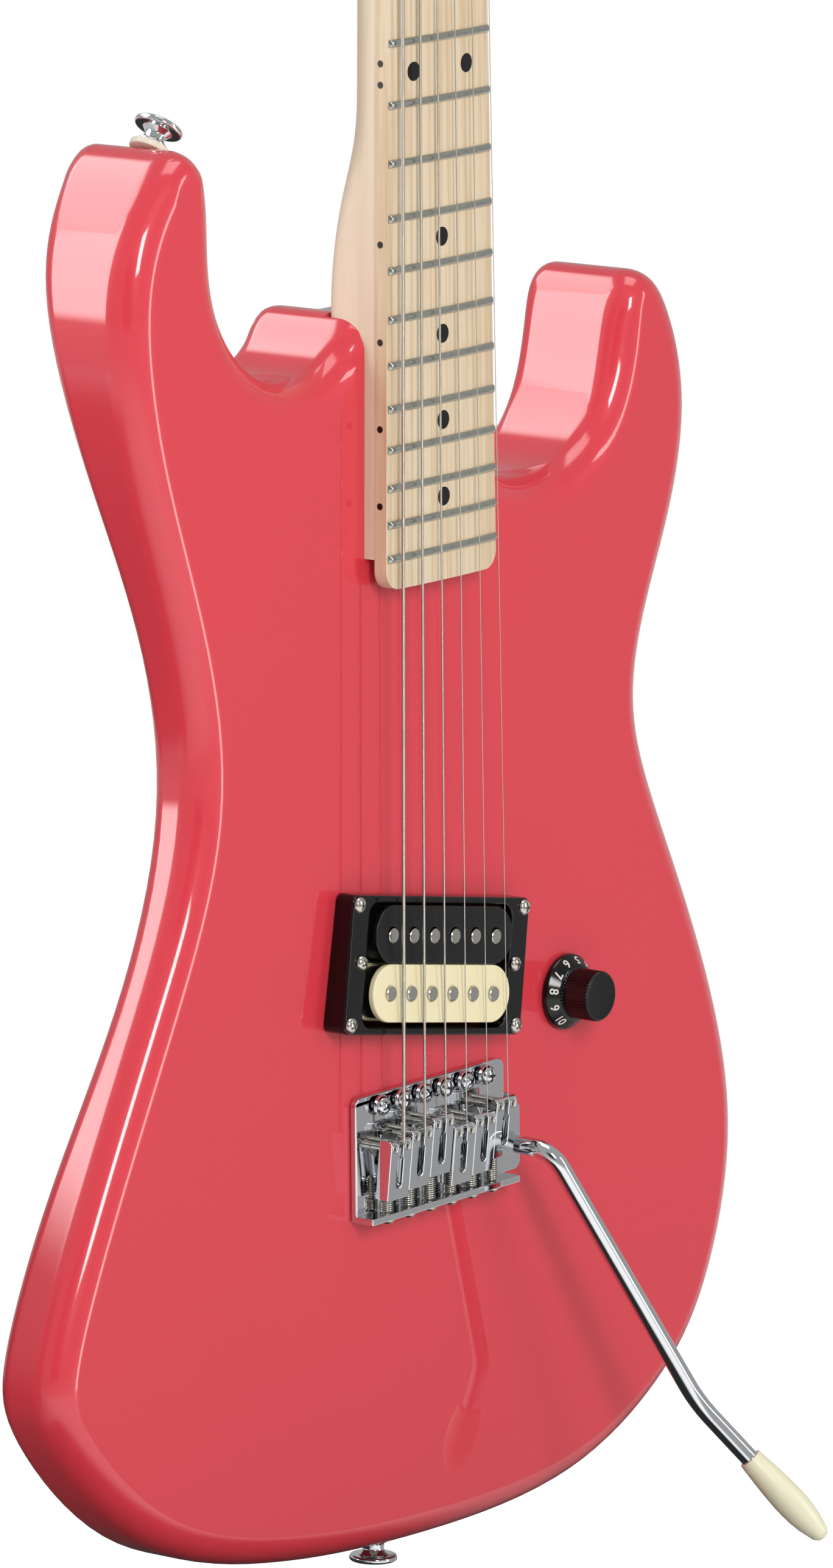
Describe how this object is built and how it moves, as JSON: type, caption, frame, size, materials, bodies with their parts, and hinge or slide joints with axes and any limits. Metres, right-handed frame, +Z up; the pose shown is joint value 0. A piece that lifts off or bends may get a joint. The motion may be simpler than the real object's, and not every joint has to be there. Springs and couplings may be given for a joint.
{
  "type": "electric guitar",
  "caption": "Full-size solid-body electric guitar with bolt-on maple neck, one slanted pickup, a volume knob and a vibrato bridge with arm; keys, posts, knob, bridge and arm move.",
  "frame": {"origin": "on the neck's centre line at the nut's front edge, level with the body's front face", "axes": "+X to the treble side, +Y from the front face into the body, +Z up the neck"},
  "size_m": [0.3525, 0.1274, 0.9837],
  "materials": {
    "coral_paint": "thick gloss coral-red lacquer over solid wood",
    "maple": "satin maple",
    "maple_board": "satin maple",
    "black_plastic": "gloss black",
    "cream_plastic": "semi-gloss cream",
    "bone": "polished bone",
    "felt": "pressed felt",
    "copper_wire": "enamelled wire",
    "nickel": "polished nickel",
    "steel": "plain steel",
    "chrome": "mirror chrome"
  },
  "bodies": {
    "guitar": {"body": "coral_paint", "neck": "maple", "fingerboard": "maple_board", "frets": "nickel", "position_dots": "black_plastic", "nut": "bone", "truss_rod": "steel", "neck_plate": "chrome", "neck_screws": "chrome", "pickup_ring": "black_plastic", "pickup_baseplate": "nickel", "slug_bobbin": "black_plastic", "screw_bobbin": "cream_plastic", "pole_pieces": "nickel", "pickup_magnet": "steel", "pickup_coils": "copper_wire", "pickup_height_screws": "nickel", "pickup_height_springs": "steel", "volume_pot": "steel", "panel_nuts": "chrome", "control_cover": "black_plastic", "spring_cover": "black_plastic", "wood_screws": "nickel", "output_jack": "nickel", "jack_plate": "chrome", "wiring": "black_plastic", "strap_buttons": "chrome", "strap_screws": "chrome", "strap_felts": "felt", "pivot_screws": "chrome", "bridge_springs": "steel", "spring_claw": "steel", "claw_screws": "steel", "wound_strings": "steel", "plain_strings": "nickel", "tuner_housings": "chrome", "tuner_bushings": "chrome"},
    "bridge": {"bridge_plate": "chrome", "bridge_block": "steel", "saddles": "chrome", "saddle_height_screws": "nickel", "intonation_screws": "nickel", "intonation_springs": "nickel", "block_screws": "steel"},
    "arm": {"vibrato_arm": "chrome", "arm_tip": "cream_plastic"},
    "knob": {"volume_knob": "black_plastic", "pot_shaft": "steel"},
    "key_1": {"tuner_key_1": "chrome"},
    "post_1": {"tuner_post_1": "chrome"},
    "key_2": {"tuner_key_2": "chrome"},
    "post_2": {"tuner_post_2": "chrome"},
    "key_3": {"tuner_key_3": "chrome"},
    "post_3": {"tuner_post_3": "chrome"},
    "key_4": {"tuner_key_4": "chrome"},
    "post_4": {"tuner_post_4": "chrome"},
    "key_5": {"tuner_key_5": "chrome"},
    "post_5": {"tuner_post_5": "chrome"},
    "key_6": {"tuner_key_6": "chrome"},
    "post_6": {"tuner_post_6": "chrome"}
  },
  "joints": [
    {"name": "bridge_pivot", "type": "hinge", "parent": "guitar", "child": "bridge", "pos_m": [0, -0.00025, -0.6374], "axis": [-1, 0, 0], "range_deg": [0, 8], "stiffness_Nm_per_rad": 4, "springref_deg": -8.59, "deforming": ["wound_strings", "plain_strings", "bridge_springs"]},
    {"name": "arm_swivel", "type": "hinge", "parent": "bridge", "child": "arm", "pos_m": [0.0369, 0, -0.665], "axis": [0, -1, 0], "range_deg": [-28, 150]},
    {"name": "volume_turn", "type": "hinge", "parent": "guitar", "child": "knob", "pos_m": [0.0735, 0, -0.6222], "axis": [0, -1, 0], "range_deg": [-150, 150]},
    {"name": "key_1_turn", "type": "hinge", "parent": "guitar", "child": "key_1", "pos_m": [-0.01953, 0.02051, 0.04274], "axis": [-0.963, 0.0375, 0.267], "continuous": true},
    {"name": "post_1_turn", "type": "hinge", "parent": "guitar", "child": "post_1", "pos_m": [-0.02131, 0.00111, 0.03905], "axis": [0, 0.9903, -0.1392], "continuous": true},
    {"name": "key_2_turn", "type": "hinge", "parent": "guitar", "child": "key_2", "pos_m": [-0.01236, 0.02399, 0.0675], "axis": [-0.963, 0.0375, 0.267], "continuous": true},
    {"name": "post_2_turn", "type": "hinge", "parent": "guitar", "child": "post_2", "pos_m": [-0.01414, 0.00459, 0.06381], "axis": [0, 0.9903, -0.1392], "continuous": true},
    {"name": "key_3_turn", "type": "hinge", "parent": "guitar", "child": "key_3", "pos_m": [-0.0052, 0.02747, 0.09225], "axis": [-0.963, 0.0375, 0.267], "continuous": true},
    {"name": "post_3_turn", "type": "hinge", "parent": "guitar", "child": "post_3", "pos_m": [-0.00698, 0.00807, 0.08856], "axis": [0, 0.9903, -0.1392], "continuous": true},
    {"name": "key_4_turn", "type": "hinge", "parent": "guitar", "child": "key_4", "pos_m": [0.00195, 0.03095, 0.11701], "axis": [-0.963, 0.0375, 0.267], "continuous": true},
    {"name": "post_4_turn", "type": "hinge", "parent": "guitar", "child": "post_4", "pos_m": [0.00017, 0.01155, 0.11332], "axis": [0, 0.9903, -0.1392], "continuous": true},
    {"name": "key_5_turn", "type": "hinge", "parent": "guitar", "child": "key_5", "pos_m": [0.00902, 0.03443, 0.14177], "axis": [-0.963, 0.0375, 0.267], "continuous": true},
    {"name": "post_5_turn", "type": "hinge", "parent": "guitar", "child": "post_5", "pos_m": [0.00724, 0.01503, 0.13808], "axis": [0, 0.9903, -0.1392], "continuous": true},
    {"name": "key_6_turn", "type": "hinge", "parent": "guitar", "child": "key_6", "pos_m": [0.01606, 0.03791, 0.16652], "axis": [-0.963, 0.0375, 0.267], "continuous": true},
    {"name": "post_6_turn", "type": "hinge", "parent": "guitar", "child": "post_6", "pos_m": [0.01428, 0.01851, 0.16283], "axis": [0, 0.9903, -0.1392], "continuous": true}
  ],
  "couplings": [
    {"joint": "post_1_turn", "follows": "key_1_turn", "ratio": 0.07143},
    {"joint": "post_2_turn", "follows": "key_2_turn", "ratio": 0.07143},
    {"joint": "post_3_turn", "follows": "key_3_turn", "ratio": 0.07143},
    {"joint": "post_4_turn", "follows": "key_4_turn", "ratio": 0.07143},
    {"joint": "post_5_turn", "follows": "key_5_turn", "ratio": 0.07143},
    {"joint": "post_6_turn", "follows": "key_6_turn", "ratio": 0.07143}
  ]
}
